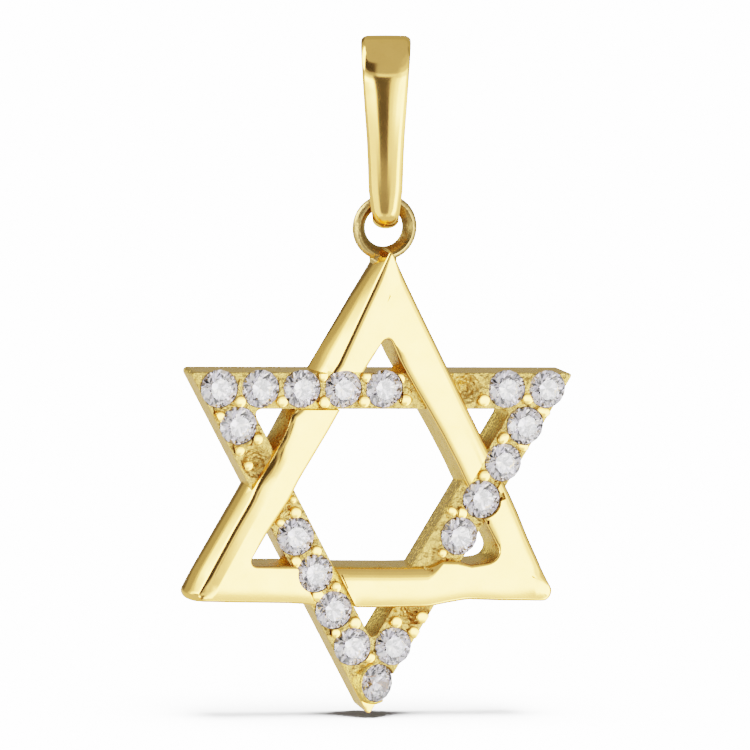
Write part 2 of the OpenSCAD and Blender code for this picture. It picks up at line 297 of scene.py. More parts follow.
def gold(name, base, rough, wave, grain_scale, grain_depth, pit_shade):
    """A gold finish: its colour, how rough and wavy it is, its grain's scale and depth, and how much
    painted shade darkens the grain's pits.
    """
    made = bpy.data.materials.new(name)
    made.use_nodes = True
    tree = made.node_tree
    shader = tree.nodes["Principled BSDF"]
    shader.inputs["Metallic"].default_value = 1
    shader.inputs["Specular Tint"].default_value = (1.0, 0.86, 0.55, 1)
    place = add_node(tree, "ShaderNodeTexCoord").outputs["Object"]
    cast = add_node(tree, "ShaderNodeGroup", node_tree=grain)
    cast.inputs["Scale"].default_value = grain_scale
    cloud = add_node(tree, "ShaderNodeTexNoise", {"Vector": place, "Scale": 900.0, "Detail": 3.0})
    shade = add_node(tree, "ShaderNodeMapRange",
                     {"Value": cloud.outputs["Fac"], "From Min": 0.3, "From Max": 0.7,
                      "To Min": 0.0, "To Max": 0.25})
    # The colour darkens towards a deeper orange in the grain's pits, a painted shade, and in random
    # soft patches of tone
    deep = add_node(tree, "ShaderNodeMath",
                    {0: cast.outputs["Deep"], 1: pit_shade, 2: shade.outputs["Result"]},
                    operation="MULTIPLY_ADD", use_clamp=True)
    colour = add_node(tree, "ShaderNodeMix", {"Factor": deep.outputs[0]}, data_type="RGBA")
    colour.inputs["A"].default_value = (*base, 1)
    colour.inputs["B"].default_value = [c * k for c, k in zip(base, (0.7, 0.62, 0.5))] + [1]
    tree.links.new(colour.outputs["Result"], shader.inputs["Base Color"])
    worn = add_node(tree, "ShaderNodeMath", {0: deep.outputs[0], 1: 0.2, 2: rough},
                    operation="MULTIPLY_ADD")
    tree.links.new(worn.outputs[0], shader.inputs["Roughness"])
    swell = add_node(tree, "ShaderNodeTexNoise", {"Vector": place, "Scale": 420.0, "Detail": 1.0})
    first = add_node(tree, "ShaderNodeBump",
                     {"Strength": 1.0, "Distance": wave, "Height": swell.outputs["Fac"]})
    second = add_node(tree, "ShaderNodeBump",
                      {"Strength": 1.0, "Distance": grain_depth,
                       "Height": cast.outputs["Height"], "Normal": first.outputs[0]})
    tree.links.new(second.outputs[0], shader.inputs["Normal"])
    return made


# The polished gold has the alloy's own colour; the golds after it are darker copies of it
polished_gold = gold("gold_polished", (1.0, 0.547, 0.138), 0.1, 0.00001, 5000.0, 0.0000005, 0.1)
# For the as-cast walls: its lower base colour is painted shade, its grain and roughness are real
cast_shaded_gold = gold("gold_cast_painted_shade", (0.7, 0.42, 0.1), 0.22, 0.00002, 3500.0, 0.00006, 0.6)
# For the decks between the stones: its lower base colour paints the shade of the stones, beads and
# walls, its grain and roughness are real
deck_shaded_gold = gold("gold_between_stones_painted_shade", (0.66, 0.42, 0.12), 0.26, 0.00004, 2800.0, 0.00018, 0.6)
# For the ring and solder: its lower base colour is painted shade, its satin roughness is real
satin_shaded_gold = gold("gold_satin_painted_shade", (0.5, 0.32, 0.11), 0.28, 0.00003, 4000.0, 0.00002, 0.3)
# The darkest copy, for the ring's hollow: its base colour is painted shade
hollow_shade_gold = gold("gold_ring_hollow_painted_shade", (0.2, 0.13, 0.04), 0.3, 0.00003, 4000.0, 0.00002, 0.5)
GOLDS = (polished_gold, cast_shaded_gold, deck_shaded_gold, satin_shaded_gold, hollow_shade_gold)
POLISHED, CAST_SHADED, BETWEEN_SHADED, SATIN_SHADED, HOLLOW_SHADE = range(5)

# The star: one gold casting with a ring soldered to its top point. A polished plain triangle
# and a sunk stone-set triangle pass over and under each other. Sizes are in millimetres,
# in a frame with the star's middle at the origin, up as y and towards the viewer as z.
PITCH, PITCHES = 1.7, 8
SET_INNER, SET_OUTER, PLAIN_WIDTH = 0.82, 0.63, 1.54
LINE_IN = PITCHES * PITCH / (2 * math.sqrt(3))
HEX_IN = LINE_IN - SET_INNER
SET_OUT = LINE_IN + SET_OUTER
PLAIN_OUT = HEX_IN + PLAIN_WIDTH
FRONT, BACK, DECK_DROP = 1.075, -1.075, 0.35
DECK = FRONT - DECK_DROP
RING_R, RING_AT, RING_BACK = 1.05, 10.242, 0.08
HANG = RING_AT + RING_R
HINGE = Vector(frame["joints"][0]["pos_m"])
MILLIMETRES = Matrix.Scale(0.001, 4)
STAR_PLACE = (Matrix.Translation(HINGE) @ Matrix.Rotation(math.radians(90), 4, "X") @ MILLIMETRES
              @ Matrix.Translation((0, -HANG, RING_BACK)))


def between(table, way):
    """The value at a way along a table of (way, value), straight between its rows."""
    if way <= table[0][0]:
        return table[0][1]
    for (a, low), (b, high) in zip(table, table[1:]):
        if way <= b:
            return low + (high - low) * (way - a) / (b - a)
    return table[-1][1]


def whole(bm):
    return bm.verts[:] + bm.edges[:] + bm.faces[:]


# The bars are cut at every STATION along them and at these heights. INNER_ROUND is the radius of
# most of their inner corners.
STATION, STATIONS, INNER_ROUND = 0.3, 28, 0.25
LEVELS = (-0.75, -0.45, -0.15, 0.15, 0.45)


def frame_solid(outer, inner, turned, low, top, corner_radii, inner_radii, rim, strips=()):
    """A triangular frame with round corners and round rims, cut into short lengths and strips."""
    bm = bmesh.new()
    ways = [math.radians(90 + turned - 120 * i) for i in range(3)]
    corners = [bm.verts.new((2 * outer * math.cos(a), 2 * outer * math.sin(a), top)) for a in ways]
    face = bm.faces.new(corners)
    face.normal_update()
    bmesh.ops.inset_individual(bm, faces=[face], thickness=outer - inner, use_even_offset=True)
    bmesh.ops.delete(bm, geom=[face], context="FACES")
    made = bmesh.ops.extrude_face_region(bm, geom=bm.faces[:])["geom"]
    moved = [v for v in made if isinstance(v, bmesh.types.BMVert)]
    bmesh.ops.translate(bm, verts=moved, vec=(0, 0, low - top))
    bmesh.ops.recalc_face_normals(bm, faces=bm.faces[:])

    def upright(edge):
        a, b = (v.co for v in edge.verts)
        return (a.xy - b.xy).length < 1e-4

    for i, a in enumerate(ways):
        for reach, radius in ((2 * outer, corner_radii[i]), (2 * inner, inner_radii[i])):
            spot = Vector((reach * math.cos(a), reach * math.sin(a)))
            edges = [e for e in bm.edges if upright(e) and (e.verts[0].co.xy - spot).length < 1e-3]
            bmesh.ops.bevel(bm, geom=edges, offset=radius * math.sqrt(3), offset_type="OFFSET",
                            segments=8, profile=0.5, affect="EDGES", material=-1)
    for height in (top, low):
        edges = [e for e in bm.edges if all(abs(v.co.z - height) < 1e-4 for v in e.verts)
                 and len(e.link_faces) == 2 and abs(e.calc_face_angle()) > 1]
        bmesh.ops.bevel(bm, geom=edges, offset=rim, offset_type="OFFSET",
                        segments=8 if strips else 3, profile=0.5, affect="EDGES", material=-1)
    for height in LEVELS:
        bmesh.ops.bisect_plane(bm, geom=whole(bm), dist=1e-4, plane_co=(0, 0, height),
                               plane_no=(0, 0, 1))
    for a in ways:
        bmesh.ops.bisect_plane(bm, geom=whole(bm), dist=1e-4, plane_co=(0, 0, 0),
                               plane_no=(-math.sin(a), math.cos(a), 0))
    for i, (out, along) in enumerate(bar_ways(turned)):
        cuts = [(along * step * STATION, along) for step in range(-STATIONS, STATIONS + 1)]
        cuts += [(out * (outer - strip), out) for strip in strips]
        for spot, normal in cuts:
            mine = [f for f in bm.faces if bar_of(f.calc_center_median(), turned) == i]
            near = set(mine) | {e for f in mine for e in f.edges} | {v for f in mine for v in f.verts}
            bmesh.ops.bisect_plane(bm, geom=list(near), dist=1e-4, plane_co=spot, plane_no=normal)
    return bm


def bar_ways(turned):
    """Each bar's way out from the star's middle and its way along, both in the star's face."""
    found = []
    for i in range(3):
        a = math.radians(90 + turned + 60 - 120 * i)
        found.append((Vector((math.cos(a), math.sin(a), 0)), Vector((math.sin(a), -math.cos(a), 0))))
    return found


def bar_of(place, turned):
    outs = [place.dot(out) for out, _ in bar_ways(turned)]
    return outs.index(max(outs))


def smooth(share):
    share = min(max(share, 0), 1)
    return share * share * (3 - 2 * share)


# Lengths in which a shoulder fades out before a corner, and a corner's own shift fades in
SHOULDER_FADE, CORNER_FADE = 1.1, 2.2
# Half the length of a wall's swell. The outer wall's shift fades out across the face, in a
# width of FACE_FADE, and has gone at FACE_END in from the wall.
SWELL_HALF, FACE_END, FACE_FADE = 3.4, 1.1, 0.65
# A way along a bar that lies beyond its end
BEYOND = 20


def warp(bm, turned, outer, inner, rim, corner_radii, shoulders, crown, front_out, back_out,
         belly, inner_in, swell):
    """Gives each bar its measured shape: shoulders, a fall of the face, walls that lean and swell."""
    ways = bar_ways(turned)
    middle = (outer + inner) / 2
    reach = {True: outer * math.sqrt(3), False: inner * math.sqrt(3)}

    def shift(bar, along, height, across):
        """How far out a place moves; across is 0 near the bar's inner wall, 1 near its outer one."""
        share = min(max((height - BACK) / (FRONT - BACK), 0), 1)
        near, far = between(back_out[bar], along), between(front_out[bar], along)
        outwards = near + (far - near) * share + belly[bar] * 4 * share * (1 - share) - outer
        swollen = swell.get(bar, 0) * share * smooth(SWELL_HALF - abs(along))
        inwards = between(inner_in[bar], along) - inner - swollen
        return inwards + (outwards - inwards) * across

    for v in bm.verts:
        bar = bar_of(v.co, turned)
        out, along = ways[bar]
        outside = v.co.dot(out) > middle
        way = v.co.dot(along)
        height = v.co.z
        move = Vector((0, 0, 0))
        across = min(max((FACE_END - outer + v.co.dot(out)) / FACE_FADE, 0), 1)
        # How far in from the wall and down from the front, in units of the rim's radius
        aside = (outer - v.co.dot(out) if outside else v.co.dot(out) - inner) / rim
        for level, sign, key in ((FRONT, -1, "front"), (BACK, 1, "back")):
            down = sign * (height - level) / rim
            shoulder = key + ("_out" if outside else "_in")
            if shoulder in shoulders and -0.1 < aside < 1.1 and -0.1 < down < 1.1:
                wide, deep = (between(table, way) for table in shoulders[shoulder][bar])
                radius = corner_radii[bar if way > 0 else bar - 1] if outside else INNER_ROUND
                fade = smooth((reach[outside] - abs(way) - radius * math.sqrt(3)) / SHOULDER_FADE)
                wide, deep = rim + (wide - rim) * fade, rim + (deep - rim) * fade
                move += out * (-1 if outside else 1) * aside * (wide - rim)
                move.z += sign * down * (deep - rim)
        if outside and height > FRONT - rim * 1.1:
            inwards = min(max((outer - v.co.dot(out)) / CROWN_WIDE, 0), 1)
            move.z -= between(crown[bar], way) * (1 - inwards) ** 2
        move += out * shift(bar, way, height, across)
        for end, other in ((1, (bar + 1) % 3), (-1, (bar - 1) % 3)):
            past = end * way - v.co.dot(out) * math.sqrt(3)
            blend = smooth((past + CORNER_FADE) / CORNER_FADE)
            if blend > 0:
                # The corner moves so that both bars that meet there keep their distances
                mine = shift(bar, end * BEYOND, height, across)
                its = shift(other, -end * BEYOND, height, across)
                n, m = ways[bar][0], ways[other][0]
                cross = n.dot(m)
                corner = (n * (mine - its * cross) + m * (its - mine * cross)) / (1 - cross * cross)
                move += along * corner.dot(along) * blend
        v.co += move


def as_object(bm, name, finish_of=POLISHED):
    mesh = bpy.data.meshes.new(name)
    bmesh.ops.recalc_face_normals(bm, faces=bm.faces[:])
    for f in bm.faces:
        f.material_index = finish_of
    bm.to_mesh(mesh)
    bm.free()
    made = bpy.data.objects.new(name, mesh)
    scene.collection.objects.link(made)
    for m in GOLDS:
        mesh.materials.append(m)
    return made


def combine(body, other, operation):
    """Adds another solid to this one or cuts it away, and drops the other."""
    change = body.modifiers.new("combine", "BOOLEAN")
    change.object = other
    change.operation = operation
    change.solver = "MANIFOLD"
    graph = bpy.context.evaluated_depsgraph_get()
    done = bpy.data.meshes.new_from_object(body.evaluated_get(graph))
    body.modifiers.clear()
    body.data = done
    bpy.data.objects.remove(other)


# The bars in turn: left, right, bottom; ways run clockwise from each bar's middle
# Distances of the plain bars' walls from the star's middle, measured along the bars: outer ones
# at the front and at the back, inner ones, and how much an outer one bulges at half its height
FRONT_OUT = [
    [(-7.5, 4.25), (-5.6, 4.336), (-4.4, 4.392), (-3.1, 4.421), (-2.2, 4.56), (-1.3, 4.555),
     (-0.2, 4.6), (0.2, 4.677), (0.6, 4.785), (1.4, 4.5), (3.2, 4.2), (4.8, 4.381), (6.2, 4.538),
     (7.9, 4.741)],
    [(-7.7, 4.713), (-6.4, 4.666), (-5, 4.635), (-3, 4.6), (3, 4.529), (3.8, 4.486), (4.9, 4.386),
     (5.9, 4.341), (6.8, 4.279)],
    [(-6.9, 4.55), (-5.2, 4.53), (-3.8, 4.47), (-3, 4.6), (-2.2, 4.764), (0, 4.787), (1.9, 4.77),
     (3, 4.632), (3.6, 4.592), (5.7, 4.556), (7.3, 4.518)],
]
BACK_OUT = [
    [(-7.5, 4.362), (-6.6, 4.455), (-5.4, 4.476), (-2.8, 4.517), (3, 4.629), (6, 4.649),
     (7.5, 4.613)],
    [(-8, 4.646), (3, 4.64), (7, 4.45)],
    [(-7, 4.6), (-3, 4.64), (0, 4.7), (3, 4.64), (7, 4.6)],
]
INNER_IN = [
    [(-4.7, 3.122), (-3.7, 3.129), (-2.3, 3.056), (-1.4, 3.127), (0.9, 3.126), (1.7, 3.154),
     (5, 3.106)],
    [(-5, 3.05), (-4.1, 3.02), (-2.8, 3.06), (-1.8, 3.12), (-0.6, 3.17), (0.8, 3.18),
     (1.5, 3.15), (5, 3.106)],
    [(-5, 2.98), (-3.9, 3.09), (-3.3, 2.95), (-2.6, 2.93), (-2.3, 3.18), (-0.9, 3.2),
     (1.2, 3.18), (3.7, 3.109), (5, 3.111)],
]
BELLY = [0.13, 0.05, 0.05]
RIM = 0.09
# Each shoulder's width across the face and depth down the wall, along the bars in turn
CREASE = [(-7.5, 0.26), (-3.9, 0.24), (-2.4, 0.28), (-1.7, 0.46), (-1.2, 0.46), (-0.6, 0.28),
          (0.5, 0.24), (8, 0.21)]
SHOULDERS = {
    "front_out": [(CREASE, CREASE), ([(-3, 0.3), (3, 0.54)], [(-3, 0.2), (3, 0.24)]),
                  ([(0, 0.12)], [(0, 0.12)])],
    "front_in": [([(-4, 0.3), (0, 0.45), (3, 0.3)], [(0, 0.1)]), ([(0, 0.45)], [(0, 0.07)]),
                 ([(-2.6, 0.14), (-2.2, 0.6), (2, 0.6), (3, 0.12)],
                  [(-2.6, 0.14), (-2.2, 0.34), (2, 0.34), (3, 0.1)])],
    "back_out": [([(0, 0.25)], [(0, 0.25)])] * 3,
}
# How far the face falls to each outer edge, along the bars, and over what width
CROWN = [[(-7.5, 0.12), (-5, 0.09), (-3.5, 0.06), (-1, 0.025), (8, 0.025)],
         [(-8, 0.025), (3, 0.05), (7, 0.04)],
         [(-7.5, 0.04), (-5.5, 0.02), (7, 0.03)]]
CROWN_WIDE = 0.75
CORNERS = [0.1, 0.45, 0.3]
INNER_CORNERS, STRIPS = [INNER_ROUND, 0.48, INNER_ROUND], (0.58, 0.68, 0.8, 0.92)
plain = frame_solid(PLAIN_OUT, HEX_IN, 0, BACK, FRONT, CORNERS, INNER_CORNERS, RIM, STRIPS)
warp(plain, 0, PLAIN_OUT, HEX_IN, RIM, CORNERS, SHOULDERS, CROWN, FRONT_OUT, BACK_OUT, BELLY,
     INNER_IN, {})
star = as_object(plain, "star_cast", POLISHED)
# The set bars' way through the plain ones: how wide along the top, lower right and lower left
for i, across in enumerate((1.52, 1.12, 1.4)):
    left = (SET_OUT / 2 - PLAIN_OUT) / math.cos(math.radians(30)) - 1
    bm = bmesh.new()
    bmesh.ops.create_cube(bm, size=1)
    bmesh.ops.scale(bm, vec=(-left, across, 1), verts=bm.verts)
    bmesh.ops.translate(bm, vec=(left / 2, HEX_IN + across / 2, DECK + 0.5), verts=bm.verts)
    bmesh.ops.rotate(bm, matrix=Matrix.Rotation(math.radians(-120 * i), 3, "Z"), verts=bm.verts)
    combine(star, as_object(bm, "trough", CAST_SHADED), "DIFFERENCE")

SET_CORNERS = [0.15, 0.18, 0.12]
SET_RIM = 0.04
set_bars = frame_solid(SET_OUT, HEX_IN, 180, BACK, DECK, SET_CORNERS, [INNER_ROUND] * 3, SET_RIM)
LEAN_OUT = [[(0, SET_OUT)], [(0, SET_OUT + 0.1)], [(0, SET_OUT)]]
warp(set_bars, 180, SET_OUT, HEX_IN, SET_RIM, SET_CORNERS, {}, [[(0, 0)]] * 3, LEAN_OUT,
     [[(0, SET_OUT)]] * 3, [0, 0, 0], [[(0, HEX_IN)]] * 3, {0: 0.24})
combine(star, as_object(set_bars, "set_bars", BETWEEN_SHADED), "UNION")

# The 18 stones' places along the sides, the place beside each crossing that stayed empty
SET_PLACES = (0, 1, 2, 3, 4, 7)
EMPTY_PLACE = 6


def about_star(side, more=0.0):
    """The turn that brings something from the top bar to another, with a little more in degrees."""
    return Matrix.Rotation(math.radians(-120 * side + more), 3, "Z")


def along_side(side, place, out=0.0):
    """A place on the line of stones: side 0 along the top, the others clockwise."""
    spot = Vector(((place - PITCHES / 2) * PITCH, LINE_IN + out, 0))
    return about_star(side) @ spot


def turned_solid(profile, steps=24):
    """A solid of revolution about z from a profile of (radius, height) that starts and ends on it."""
    bm = bmesh.new()
    line = [bm.verts.new((r, 0, h)) for r, h in profile]
    edges = [bm.edges.new(pair) for pair in zip(line, line[1:])]
    bmesh.ops.spin(bm, geom=line + edges, angle=math.tau, steps=steps, axis=(0, 0, 1), cent=(0, 0, 0),
                   use_merge=True)
    bmesh.ops.remove_doubles(bm, verts=bm.verts, dist=1e-4)
    bmesh.ops.recalc_face_normals(bm, faces=bm.faces)
    return bm


def trim(bm, spot, outward):
    """Cuts a solid off flat at a plane."""
    bmesh.ops.bisect_plane(bm, geom=whole(bm), dist=1e-5, plane_co=spot, plane_no=outward,
                           clear_outer=True)
    bmesh.ops.holes_fill(bm, edges=[e for e in bm.edges if len(e.link_faces) == 1])


# Low rough swells of the metal between the stones, a little sunk in the deck
SWELL_SIZE, SWELL_SUNK = (0.3, 0.5, 0.13), 0.02
rng = random.Random(4)
for side in range(3):
    for gap in (place + 0.5 for place in range(PITCHES)):
        bm = bmesh.new()
        bmesh.ops.create_icosphere(bm, subdivisions=4, radius=1)
        for v in bm.verts:
            v.co += v.normal * 0.5 * noise.noise(v.co * 2.2 + Vector((side * 9, gap * 5, 0)))
        bmesh.ops.scale(bm, vec=SWELL_SIZE, verts=bm.verts)
        bmesh.ops.rotate(bm, matrix=about_star(side, rng.uniform(-20, 20)), verts=bm.verts)
        spot = along_side(side, gap, rng.uniform(-0.1, 0.05)) + Vector((0, 0, DECK - SWELL_SUNK))
        bmesh.ops.translate(bm, vec=spot, verts=bm.verts)
        combine(star, as_object(bm, "swell", BETWEEN_SHADED), "UNION")

# The tip stone leans to the right, so its seat has a raised collar on the left
TIP_RIGHT, TIP_LEAN = 0.24, math.radians(20)
TIP = (Matrix.Translation(along_side(2, 0) + Vector((TIP_RIGHT, 0, DECK)))
       @ Matrix.Rotation(TIP_LEAN, 4, "Y"))
COLLAR = [(0, -0.7), (1.02, -0.7), (0.95, -0.3), (0.86, -0.02), (0.8, 0.03), (0, 0.03)]
collar = turned_solid(COLLAR, 48)
bmesh.ops.transform(collar, matrix=TIP, verts=collar.verts)
trim(collar, TIP.translation + Vector((0.15, 0, 0)), (1, 0.25, 0))
trim(collar, along_side(2, 0, 0.68), along_side(2, 0, 1) - along_side(2, 0))
combine(star, as_object(collar, "collar", CAST_SHADED), "UNION")

# Beads raised at the stones' edges: side, place in stones, how far out from their line, radius
# and how long across the bar. They are cut off flat just inside the set bars' outer walls.
BEAD_HIGH, BEAD_CAP, BEAD_EDGE, BEAD_SUNK, BEAD_END = 0.17, 0.01, 0.045, 0.3, 0.61
BEADS = [
    (0, 1.53, -0.50, 0.24, 1), (0, 2.55, -0.54, 0.24, 1.1), (0, 2.49, 0.56, 0.20, 1.4),
    (0, 3.52, -0.50, 0.24, 1), (0, 3.54, 0.48, 0.20, 1.1), (0, 4.52, -0.44, 0.24, 1),
    (0, 4.37, 0.40, 0.20, 1.15), (0, 6.44, -0.45, 0.25, 1), (0, 7.52, -0.39, 0.25, 0.85),
    (1, 0.50, 0.31, 0.22, 1.4), (1, 1.52, -0.55, 0.26, 0.8), (1, 1.44, 0.33, 0.20, 1.3),
    (1, 2.50, -0.42, 0.24, 1), (1, 3.52, -0.44, 0.22, 1.1), (1, 3.60, -0.83, 0.18, 1.2),
    (1, 4.55, -0.28, 0.18, 1), (1, 6.07, 0.42, 0.24, 1.2), (1, 6.47, 0.43, 0.22, 1.2),
    (1, 6.48, -0.45, 0.24, 1), (2, 0.56, -0.40, 0.20, 1.2), (2, 1.51, 0.37, 0.20, 1),
    (2, 1.47, -0.52, 0.25, 1), (2, 2.51, 0.31, 0.26, 1), (2, 2.46, -0.51, 0.22, 1),
    (2, 3.48, 0.48, 0.24, 1), (2, 3.45, -0.47, 0.22, 1), (2, 4.51, -0.42, 0.24, 1),
    (2, 4.48, 0.30, 0.18, 1), (2, 4.81, -0.57, 0.16, 1), (2, 6.06, 0.40, 0.20, 1.1),
    (2, 6.48, 0.43, 0.20, 1.1), (2, 6.50, -0.43, 0.22, 1), (2, 7.42, 0.51, 0.22, 1),
    (2, 7.49, -0.49, 0.24, 1),
]
for side, place, out, radius, long in BEADS:
    high = BEAD_HIGH + 0.05 * rng.random()
    cap = BEAD_CAP + 0.008 * rng.random()
    dome = [(radius - BEAD_EDGE * (1 - math.cos(t)),
             high - cap - BEAD_EDGE + BEAD_EDGE * math.sin(t))
            for t in (math.radians(15 * k) for k in range(6))]
    dome += [((radius - BEAD_EDGE) * k, high - cap * k * k) for k in (0.85, 0.6, 0.3)]
    bead = turned_solid([(0, -BEAD_SUNK), (radius, -BEAD_SUNK)] + dome + [(0, high)])
    bmesh.ops.scale(bead, vec=(1, long, 1), verts=bead.verts)
    bmesh.ops.rotate(bead, matrix=about_star(side, rng.uniform(-15, 15)), verts=bead.verts)
    spot = along_side(side, place, out) + Vector((0, 0, DECK))
    bmesh.ops.translate(bead, vec=spot, verts=bead.verts)
    trim(bead, along_side(side, place, BEAD_END), along_side(side, 0, 1) - along_side(side, 0))
    combine(star, as_object(bead, "bead"), "UNION")

# The ring's section: round outside, with an edge where the cast hollow towards its hole begins
WIRE_R = 0.27
RING_SECTION = [(RING_R + WIRE_R * math.cos(math.radians(t)), WIRE_R * math.sin(math.radians(t)))
                for t in range(-110, 81, 10)]
RING_SECTION += [(RING_R - 0.03, 0.22), (RING_R - 0.12, 0.12), (RING_R - 0.22, -0.02),
                 (RING_R - 0.28, -0.14), (RING_R - 0.2, -0.22)]
bm = bmesh.new()
line = [bm.verts.new((r, 0, h)) for r, h in RING_SECTION]
edges = [bm.edges.new(pair) for pair in zip(line, line[1:] + line[:1])]
bmesh.ops.spin(bm, geom=line + edges, angle=math.tau, steps=72, axis=(0, 0, 1), cent=(0, 0, 0),
               use_merge=True)
bmesh.ops.translate(bm, vec=(0, RING_AT, -RING_BACK), verts=bm.verts)
combine(star, as_object(bm, "ring", SATIN_SHADED), "UNION")

# The lump of solder between the ring and the top point
SOLDER_R, SOLDER_DOWN = 0.36, 0.32
bm = bmesh.new()
bmesh.ops.create_icosphere(bm, subdivisions=5, radius=SOLDER_R)
for v in bm.verts:
    v.co += v.normal * 0.05 * noise.noise(v.co * 5)
bmesh.ops.scale(bm, vec=(1.5, 0.8, 1.3), verts=bm.verts)
bmesh.ops.translate(bm, vec=(0, 2 * PLAIN_OUT - SOLDER_DOWN, -RING_BACK), verts=bm.verts)
combine(star, as_object(bm, "solder", SATIN_SHADED), "UNION")

# The seats, as profiles of (radius, height over the deck). Each stone leans a little, in its
# own direction, and its seat with it.
SEAT = [(0, -0.705), (0.04, -0.705), (0.77, -0.02), (0.77, 0.6), (0, 0.6)]
EMPTY_SEAT = [(0, -0.35), (0.12, -0.35), (0.62, -0.02), (0.62, 0.03), (0, 0.03)]
STONE_TILT, STONE_TURN = 1.2, 100
for n in range(3 * len(SET_PLACES)):
    side, place = divmod(n, len(SET_PLACES))
    angle = math.radians(STONE_TURN * (n + 1))
    lean = Euler((math.radians(STONE_TILT * math.cos(angle)),
                  math.radians(STONE_TILT * math.sin(angle)), 0))
    spot = along_side(side, SET_PLACES[place]) + Vector((0, 0, DECK))
    put = Matrix.Translation(spot) @ lean.to_matrix().to_4x4()
    seat = turned_solid(SEAT, 32)
    bmesh.ops.transform(seat, matrix=TIP if side == 2 and place == 0 else put, verts=seat.verts)
    combine(star, as_object(seat, "seat", BETWEEN_SHADED), "DIFFERENCE")
for side in range(3):
    hollow = turned_solid(EMPTY_SEAT, 32)
    spot = along_side(side, EMPTY_PLACE) + Vector((0, 0, DECK))
    bmesh.ops.translate(hollow, vec=spot, verts=hollow.verts)
    combine(star, as_object(hollow, "hollow", BETWEEN_SHADED), "DIFFERENCE")

# Cuts of the graver beside some beads, and wider pockets at the crossings: x, y, length, turn
# in degrees, width. The middle of a pocket's cutter lies higher, so that the pocket is shallower.
CUT_WIDE, CUT_UP, POCKET_UP = 0.055, 0.35, 0.6
CUTS = [(-6.97, 3.09, 0.40, 8, CUT_WIDE), (-6.09, 1.52, 0.37, 15, CUT_WIDE),
        (-5.71, 0.92, 0.39, 21, CUT_WIDE), (-5.36, 1.86, 0.40, -9, CUT_WIDE),
        (-1.79, -5.76, 0.32, 10, CUT_WIDE), (-1.37, -3.73, 0.62, 26, CUT_WIDE),
        (0.73, 3.58, 0.49, -12, CUT_WIDE), (3.28, -1.01, 0.48, -7, CUT_WIDE),
        (5.05, -0.36, 0.3, 20, 0.24), (4.5, -1.38, 0.16, 0, 0.1), (2.13, -3.28, 0.1, -12, 0.34)]
for x, y, length, turn, wide in CUTS:
    bm = bmesh.new()
    bmesh.ops.create_cube(bm, size=1)
    bmesh.ops.scale(bm, vec=(wide, length, 1), verts=bm.verts)
    bmesh.ops.rotate(bm, matrix=Matrix.Rotation(math.radians(turn), 3, "Z"), verts=bm.verts)
    raised = POCKET_UP if wide > CUT_WIDE else CUT_UP
    bmesh.ops.translate(bm, vec=(x, y, DECK + raised), verts=bm.verts)
    combine(star, as_object(bm, "cut", BETWEEN_SHADED), "DIFFERENCE")

# An edge sharper than this stays crisp
CRISP = math.radians(32)


def finish(obj, place, choose=None):
    """Places a finished mesh, sets each face's material and marks the edges that stay crisp."""
    bm = bmesh.new()
    bm.from_mesh(obj.data)
    bmesh.ops.remove_doubles(bm, verts=bm.verts, dist=1e-4)
    bmesh.ops.recalc_face_normals(bm, faces=bm.faces)
    for f in bm.faces:
        f.smooth = True
        if choose:
            f.material_index = choose(f.calc_center_median(), f.normal, f.material_index)
    for e in bm.edges:
        e.smooth = len(e.link_faces) == 2 and abs(e.calc_face_angle(0)) < CRISP
    bmesh.ops.transform(bm, matrix=place, verts=bm.verts)
    bm.to_mesh(obj.data)
    bm.free()
    even = obj.modifiers.new("even_normals", "WEIGHTED_NORMAL")
    even.keep_sharp = True


def bar_reach(spot, turned):
    return max(spot.dot(out) for out, _ in bar_ways(turned))


# A wall's normal has a smaller share towards the viewer than this. The wheel reaches the metal
# below this height on the lower tip.
WALL_SHARE, TIP_POLISHED = 0.5, -7.9


def star_finish(spot, normal, given):
    """Inner walls and the set bars' walls stay as cast, in a darker gold that paints shade on them,
    and the ring's hollow takes the darkest gold, a painted shade. The plain bars, tip and back are
    polished.
    """
    if given == SATIN_SHADED:
        # The ring's inner faces take the darkest gold, a painted shade in its hollow
        from_ring = Vector((spot.x, spot.y - RING_AT, 0))
        inside = from_ring.length < RING_R + 0.02 and normal.dot(from_ring) < -0.1
        return HOLLOW_SHADE if inside else SATIN_SHADED
    # Walls facing sideways, inside the frame or on the set bars, take the darker cast gold: painted
    # shade beside their real grain
    if abs(normal.z) < WALL_SHARE:
        if given == POLISHED:
            inner = normal.dot(spot) < 0 or bar_reach(spot, 180) < HEX_IN + 0.05
            return CAST_SHADED if inner else POLISHED
        if given != BETWEEN_SHADED or spot.z < DECK - 0.1:
            return CAST_SHADED
    polished = given == BETWEEN_SHADED and spot.y < TIP_POLISHED or normal.z < -WALL_SHARE
    return POLISHED if polished else given


finish(star, STAR_PLACE, star_finish)
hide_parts("star")
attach(star, "star")

# The bail: a gold strap bent into a loop, domed on its outside, wide where the chain runs
# through its top and narrow and round where its lower bend holds the star's ring.
BAIL_TURN, BAIL_LEAN = math.radians(-18), math.radians(-2.4)
TOP_R, LOW_R, TOP_Z, LOW_Z = 1.4, 0.85, -1.15, -6.06
LEAN = math.degrees(math.asin((TOP_R - LOW_R) / (TOP_Z - LOW_Z)))
BAIL_PLACE = Matrix.Rotation(BAIL_TURN, 4, "Z") @ Matrix.Rotation(BAIL_LEAN, 4, "Y") @ MILLIMETRES
# Tables along the height: half the strap's width, and how far its outside is domed
HALF_WIDTHS = [(-7, 0.5), (-6.7, 0.52), (-6.06, 0.6), (-5.56, 0.67), (-4.5, 0.7), (-3.4, 0.75),
               (-2.3, 0.83), (-1.1, 0.91), (0.2, 0.985), (0.25, 0.985)]
DOMES = [(-7, 0.24), (-1.6, 0.22), (-0.4, 0.12), (0.1, 0.03)]
HALF_STRAP, DOME_BEND = 0.25, 0.92
